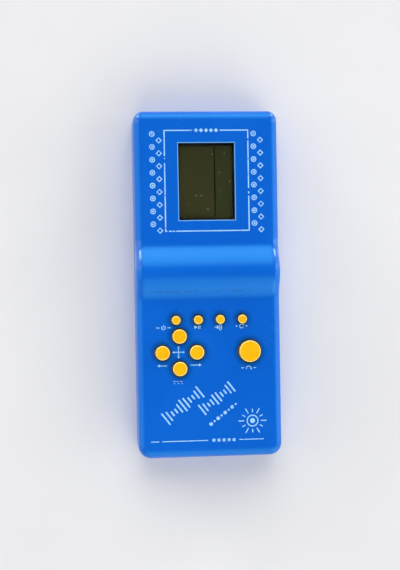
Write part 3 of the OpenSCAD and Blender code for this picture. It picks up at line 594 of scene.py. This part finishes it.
finishes = {
    "shell_blue": shellBlue(shellLook),
    "button_yellow": buttonYellow(buttonLook),
    "window_clear": windowClear(windowLook),
    "polariser_front": displayFilm(displayLook),
    "display_glass": plainFinish("displayGlass", (82, 80, 50), (76, 75, 46), 0.08, 0.14, depth=0.002),
    "polariser_rear": plainFinish("rearFilm", (122, 122, 112), (112, 113, 104), 0.4, 0.55),
    "zebra_rubber": plainFinish("zebraRubber", (220, 150, 160), (205, 132, 145), 0.5, 0.65, dress=zebraDress),
    "foam_black": plainFinish("foamBlack", (34, 34, 34), (22, 22, 23), 0.85, 0.98, depth=0.12, tooth=2600.0),
    "board_laminate": plainFinish(
        "boardLaminate", (146, 108, 50), (132, 96, 42), 0.5, 0.65, dress=boardDress),
    "resin_black": plainFinish("resinBlack", (14, 14, 15), (9, 9, 10), 0.12, 0.25),
    "capacitor_sleeve": plainFinish(
        "capacitorSleeve", (22, 26, 62), (16, 19, 50), 0.25, 0.35, dress=capacitorDress),
    "resistor_body": plainFinish(
        "resistorBody", (205, 178, 130), (192, 164, 116), 0.3, 0.42, dress=resistorDress),
    "keypad_rubber": plainFinish("keypadRubber", (186, 186, 181), (176, 177, 172), 0.5, 0.62),
    "carbon_rubber": plainFinish("carbonRubber", (20, 20, 21), (15, 15, 16), 0.6, 0.75),
    "cell_jacket": plainFinish("cellJacket", (46, 92, 78), (40, 84, 72), 0.25, 0.35, dress=cellDress),
    "contact_steel": plainFinish("contactSteel", (205, 204, 198), (190, 189, 184), 0.22, 0.4, metal=1.0),
    "disc_brass": plainFinish("discBrass", (214, 172, 92), (202, 158, 80), 0.25, 0.4, metal=1.0),
    "piezo_ceramic": plainFinish("piezoCeramic", (222, 218, 206), (212, 207, 195), 0.4, 0.55),
    "lead_insulation": plainFinish(
        "leadInsulation", (150, 26, 28), (138, 20, 22), 0.35, 0.48, dress=leadDress),
    "screw_steel": plainFinish("screwSteel", (178, 178, 176), (162, 162, 160), 0.25, 0.42, metal=1.0),
}
for node in nodes.values():
    for slot in node.material_slots:
        slot.material = finishes[slot.material.name.split(".")[0]]
print("finishes set:", len(finishes))


# Films are drawn flat in edit mode, shape by shape, and get their thickness at the end
def startFilm(name):
    bpy.ops.object.select_all(action="DESELECT")
    bpy.ops.mesh.primitive_plane_add(size=mm)
    film = bpy.context.active_object
    film.name = name
    bpy.ops.object.mode_set(mode="EDIT")
    bpy.ops.mesh.select_mode(type="FACE")
    bpy.ops.mesh.select_all(action="SELECT")
    bpy.ops.mesh.delete(type="VERT")
    return film


def finishFilm(film, material, thick):
    bpy.ops.object.mode_set(mode="OBJECT")
    body = film.modifiers.new("thickness", "SOLIDIFY")
    body.thickness = thick * mm
    body.offset = 1.0
    bpy.ops.object.modifier_apply(modifier=body.name)
    film.data.materials.append(material)
    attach(film, "case")


def onPanel(x, y):
    return Vector((x, y, inkLook["level"])) * mm


def turnFlat(place, degrees):
    if degrees:
        bpy.ops.transform.rotate(value=-math.radians(degrees), orient_axis="Z", center_override=place)


# Rounding of stroke ends in widths of the stroke, and what parts an arc's faces from the shapes inside it
strokeLook = {"endRound": 0.48, "endSteps": 4, "arcSides": 40, "arcDepth": 1.2}


def bar(x, y, long, wide, turn=0, roundEnds=False):
    place = onPanel(x, y)
    bpy.ops.mesh.primitive_plane_add(size=mm, location=place)
    bpy.ops.transform.resize(value=(long, wide, 1), center_override=place)
    if roundEnds:
        reach = strokeLook["endRound"] * wide * mm
        bpy.ops.mesh.bevel(offset=reach, affect="VERTICES", segments=strokeLook["endSteps"])
    turnFlat(place, turn)


def dot(x, y, size, sides=14, turn=0):
    place = onPanel(x, y)
    bpy.ops.mesh.primitive_circle_add(vertices=sides, radius=size / 2 * mm, fill_type="NGON", location=place)
    turnFlat(place, turn)


def ring(x, y, size, line, sides=24):
    dot(x, y, size, sides)
    bpy.ops.mesh.inset(thickness=line * mm)
    bpy.ops.mesh.delete(type="FACE")


# Part of a ring from one angle round to another, counted from +X
def arc(film, x, y, size, line, start, stop):
    ring(x, y, size, line, strokeLook["arcSides"])
    mesh = bmesh.from_edit_mesh(film.data)
    for face in mesh.faces:
        off = (face.calc_center_median() - onPanel(x, y)) / mm
        angle = (math.degrees(math.atan2(off.y, off.x)) - start) % 360
        onRing = size / 2 - strokeLook["arcDepth"] * line < off.length < size / 2
        face.select_set(onRing and angle > stop - start)
    bmesh.update_edit_mesh(film.data)
    bpy.ops.mesh.delete(type="FACE")


# Solid arrow tip that points along the given angle
def tip(x, y, size, turn):
    dot(x, y, size, 3, turn - 90)


def copyAlong(stepX, stepY, times):
    for _ in range(times):
        bpy.ops.mesh.duplicate_move(TRANSFORM_OT_translate={"value": (stepX * mm, stepY * mm, 0)})


ink = inkWhite(inkLook)

# Line frame round the screen, worn through in places, with a row of diamonds in its top gap
frameLook = {
    "left": -21.75, "right": 21.75, "low": 27.7, "high": 79.7, "line": 0.6,
    "topRuns": [(-22.05, -7.2), (7.2, 22.05)],
    "lowRuns": [(-22.05, -20.9), (-20.1, -18.5), (-18.0, -17.0), (-16.4, 22.05)],
    "leftRuns": [(28.0, 46.2), (46.6, 62.9), (65.0, 65.5), (66.5, 79.4)],
    "rightRuns": [(28.0, 45.6), (46.8, 47.9), (49.6, 64.8), (65.2, 74.4), (75.4, 79.4)],
    "gems": 5, "gemSize": 2.2, "gemPitch": 2.6,
}


def addScreenFrame(s):
    film = startFilm("screenFramePrint")
    for y, runs in ((s["high"], s["topRuns"]), (s["low"], s["lowRuns"])):
        for start, stop in runs:
            bar((start + stop) / 2, y, stop - start, s["line"])
    for x, runs in ((s["left"], s["leftRuns"]), (s["right"], s["rightRuns"])):
        for start, stop in runs:
            bar(x, (start + stop) / 2, s["line"], stop - start)
    dot(-s["gemPitch"] * (s["gems"] - 1) / 2, s["high"], s["gemSize"], 4)
    copyAlong(s["gemPitch"], 0, s["gems"] - 1)
    finishFilm(film, ink, inkLook["film"])


# Zigzag of ringed dots and open diamonds beside the screen; the right side is a shifted copy of the left
motifLook = {
    "outerX": -28.1, "innerX": -24.6, "topY": 77.9, "pitch": 3.32, "pairs": 8, "acrossTo": 52.7,
    "ringSize": 2.9, "gemSize": 3.3, "line": 0.5, "dotSize": 1.1,
}


def addSideMotifs(s):
    film = startFilm("sideMotifPrint")
    ring(s["outerX"], s["topY"], s["ringSize"], s["line"])
    dot(s["outerX"], s["topY"], s["dotSize"])
    ring(s["innerX"], s["topY"] - s["pitch"], s["gemSize"], s["line"], sides=4)
    bpy.ops.mesh.select_all(action="SELECT")
    copyAlong(0, -2 * s["pitch"], s["pairs"] - 1)
    bpy.ops.mesh.select_all(action="SELECT")
    copyAlong(s["acrossTo"], 0, 1)
    finishFilm(film, ink, inkLook["film"])


# Signs by the buttons, each set off from the middle of its button
signLook = {
    "line": 0.42,
    "power": {
        "off": (-6.55, -3.8), "size": 2.3, "arc": (125, 415), "stemUp": 0.75, "stem": 1.1,
        "dashOut": 2.9, "dash": 1.7},
    "start": {"off": (-0.55, -3.8), "tipX": -0.9, "tip": 2.1, "strokesX": (0.65, 1.45), "stroke": 1.7},
    "sound": {
        "off": (-0.45, -4.0), "boxX": -2.1, "box": (0.7, 0.9), "coneX": -1.35, "cone": 2.2,
        "arcX": -1.5, "arc": (-42, 42), "sizes": (2.4, 4.0, 5.6)},
    "reset": {
        "off": (-0.4, -3.7), "size": 2.4, "arc": (60, 350), "tipAt": (0.95, 0.75), "tip": 1.2, "turn": -35,
        "dotOut": 2.6, "dot": 0.8},
    "left": {"off": (-0.4, -6.7), "turn": 180, "long": 5.0, "head": 1.9, "headRoom": 1.5},
    "right": {"off": (-0.55, -6.6), "turn": 0, "long": 5.8, "head": 1.9, "headRoom": 1.5},
    "down": {
        "off": (-1.0, -7.0), "stroke": 0.3,
        "rows": [
            {"up": 0.5, "x": (-2.0, -0.4, 1.5), "long": 1.1},
            {"up": -0.6, "x": (-1.9, 0.1, 2.0), "long": 0.7}]},
    "rotate": {
        "off": (-0.65, -8.7), "size": 3.0, "arcUp": -0.4, "arc": (10, 200), "tipAt": (1.3, -0.45), "tip": 1.3,
        "turn": -95, "dashOut": 3.2, "dash": 1.5},
    "cross": {"off": (-0.6, 0.2), "arm": 2.6, "tip": 1.5, "tipRoom": 0.35},
}


def powerSign(film, x, y, line, s):
    arc(film, x, y, s["size"], line, *s["arc"])
    bar(x, y + s["stemUp"], line, s["stem"])
    for side in (-1, 1):
        bar(x + side * s["dashOut"], y, s["dash"], line)


def startSign(film, x, y, line, s):
    tip(x + s["tipX"], y, s["tip"], 0)
    for step in s["strokesX"]:
        bar(x + step, y, line, s["stroke"])


def soundSign(film, x, y, line, s):
    bar(x + s["boxX"], y, *s["box"])
    tip(x + s["coneX"], y, s["cone"], 180)
    for size in s["sizes"]:
        arc(film, x + s["arcX"], y, size, line, *s["arc"])


def resetSign(film, x, y, line, s):
    arc(film, x, y, s["size"], line, *s["arc"])
    tip(x + s["tipAt"][0], y + s["tipAt"][1], s["tip"], s["turn"])
    for side in (-1, 1):
        dot(x + side * s["dotOut"], y, s["dot"])


def arrowSign(film, x, y, line, s):
    way = math.cos(math.radians(s["turn"]))
    bar(x - way * s["headRoom"] / 2, y, s["long"] - s["headRoom"], line)
    tip(x + way * (s["long"] - s["head"]) / 2, y, s["head"], s["turn"])


def downSign(film, x, y, line, s):
    for row in s["rows"]:
        for step in row["x"]:
            bar(x + step, y + row["up"], row["long"], s["stroke"])


def rotateSign(film, x, y, line, s):
    arc(film, x, y + s["arcUp"], s["size"], line, *s["arc"])
    tip(x + s["tipAt"][0], y + s["tipAt"][1], s["tip"], s["turn"])
    for side in (-1, 1):
        bar(x + side * s["dashOut"], y, s["dash"], line)


# Four arrows from one point, between the direction buttons
def crossSign(film, x, y, line, s):
    for turn in (0, 90, 180, 270):
        outX, outY = math.cos(math.radians(turn)), math.sin(math.radians(turn))
        reach = s["arm"] - s["tipRoom"]
        middle = (reach + line / 2) / 2
        bar(x + outX * middle, y + outY * middle, reach - line / 2, line, turn)
        tip(x + outX * s["arm"], y + outY * s["arm"], s["tip"], turn)
    bar(x, y, line, line)


def addSigns(s):
    film = startFilm("buttonSignPrint")
    draw = {
        "power": powerSign, "start": startSign, "sound": soundSign, "reset": resetSign,
        "left": arrowSign, "right": arrowSign, "down": downSign, "rotate": rotateSign, "cross": crossSign,
    }
    places = {name: middleOf("button_" + name) for name in draw if name != "cross"}
    places["cross"] = (middleOf("button_up")[0], middleOf("button_left")[1])
    for name, drawSign in draw.items():
        (x, y), (offX, offY) = places[name], s[name]["off"]
        drawSign(film, x + offX, y + offY, s["line"], s[name])
    finishFilm(film, ink, inkLook["film"])


# Slanted print below the buttons: two waves of upright strokes and a row of dots climb to the right
waveLook = {
    "slant": 37.5, "weight": 0.85,
    "waves": [
        {"middle": (-14.4, -62.5), "strokes": 11, "pitch": 2.25, "tall": 7.6, "short": 2.6, "swing": 70.0},
        {"middle": (3.3, -59.2), "strokes": 10, "pitch": 2.15, "tall": 6.8, "short": 2.4, "swing": 82.0},
    ],
    "dotsMiddle": (6.6, -67.5), "dots": 8, "dotPitch": 2.35, "dotSizes": (1.9, 1.1),
}


def addWavePrint(s):
    film = startFilm("slantedWavePrint")
    slant = math.radians(s["slant"])
    for wave in s["waves"]:
        for index in range(wave["strokes"]):
            along = (index - (wave["strokes"] - 1) / 2) * wave["pitch"]
            swing = 0.5 + 0.5 * math.cos(math.radians(wave["swing"] * index))
            tall = wave["short"] + (wave["tall"] - wave["short"]) * swing
            x = wave["middle"][0] + along * math.cos(slant)
            y = wave["middle"][1] + along * math.sin(slant)
            bar(x, y, tall, s["weight"], s["slant"] + 90, roundEnds=True)
    for index in range(s["dots"]):
        along = (index - (s["dots"] - 1) / 2) * s["dotPitch"]
        x = s["dotsMiddle"][0] + along * math.cos(slant)
        y = s["dotsMiddle"][1] + along * math.sin(slant)
        dot(x, y, s["dotSizes"][index % 2])
    finishFilm(film, ink, inkLook["film"])


# Sun in the lower right corner
sunLook = {
    "x": 21.8, "y": -71.4, "ringSize": 6.2, "line": 0.55, "coreSize": 2.6,
    "rays": 12, "rayFrom": 4.3, "rayTo": (7.4, 6.2),
}


def addSun(s):
    film = startFilm("sunPrint")
    ring(s["x"], s["y"], s["ringSize"], s["line"], sides=32)
    dot(s["x"], s["y"], s["coreSize"], 18)
    for index in range(s["rays"]):
        turn = 360 / s["rays"] * index
        reach = s["rayTo"][index % 2]
        out = (s["rayFrom"] + reach) / 2
        x = s["x"] + out * math.cos(math.radians(turn))
        y = s["y"] + out * math.sin(math.radians(turn))
        bar(x, y, reach - s["rayFrom"], s["line"], turn, roundEnds=True)
    finishFilm(film, ink, inkLook["film"])


# Rule along the foot of the panel with five squares set into it
ruleLook = {
    "y": -81.0, "line": 0.45, "runs": [(-31.2, -27.0), (-25.5, -1.6), (14.7, 27.6)],
    "squares": 5, "squareSize": 1.5, "squareFrom": 1.4, "squarePitch": 2.65,
}


def addRule(s):
    film = startFilm("footRulePrint")
    for start, stop in s["runs"]:
        bar((start + stop) / 2, s["y"], stop - start, s["line"])
    bar(s["squareFrom"], s["y"], s["squareSize"], s["squareSize"])
    copyAlong(s["squarePitch"], 0, s["squares"] - 1)
    finishFilm(film, ink, inkLook["film"])


addScreenFrame(frameLook)
addSideMotifs(motifLook)
addSigns(signLook)
addWavePrint(waveLook)
addSun(sunLook)
addRule(ruleLook)
print("print laid on the panels")

# Black border on the underside of the window: a dark sheet put where the window opening throws its shade,
# widest at the top and right side
borderLook = {
    "level": 20.73, "film": 0.04, "outerX": 16.4, "outerLow": 31.4, "outerHigh": 75.2,
    "left": -13.75, "right": 13.4, "low": 34.35, "high": 71.9,
    "black": (3, 8, 11), "soft": (6, 13, 16),
}


def addBorder(s):
    film = startFilm("windowBorder")
    wide = 2 * s["outerX"]
    for low, high in ((s["outerLow"], s["low"]), (s["high"], s["outerHigh"])):
        bar(0, (low + high) / 2, wide, high - low)
    tall = s["high"] - s["low"]
    for start, stop in ((-s["outerX"], s["left"]), (s["right"], s["outerX"])):
        bar((start + stop) / 2, (s["low"] + s["high"]) / 2, stop - start, tall)
    bpy.ops.mesh.select_all(action="SELECT")
    bpy.ops.transform.translate(value=(0, 0, (s["level"] - inkLook["level"]) * mm))
    # the border's black stands for painted shade inside the window opening
    finishFilm(film, plainFinish("borderShadeBlack", s["black"], s["soft"], 0.35, 0.5), s["film"])


addBorder(borderLook)
print("window border set")


def addFloor(s):
    bpy.ops.object.select_all(action="DESELECT")
    bpy.ops.mesh.primitive_plane_add(size=s["floorSide"] * mm)
    floor = bpy.context.active_object
    floor.name = "paleFloor"
    paper = plainFinish("paleFloor", s["floorColour"], s["floorShade"], 0.8, 0.9, scale=6.0, depth=0.0)
    paper.node_tree.nodes["Principled BSDF"].inputs["Specular IOR Level"].default_value = 0.0
    floor.data.materials.append(paper)


addLights(studio)
addWorld(studio)
addFloor(studio)
print("studio lit")
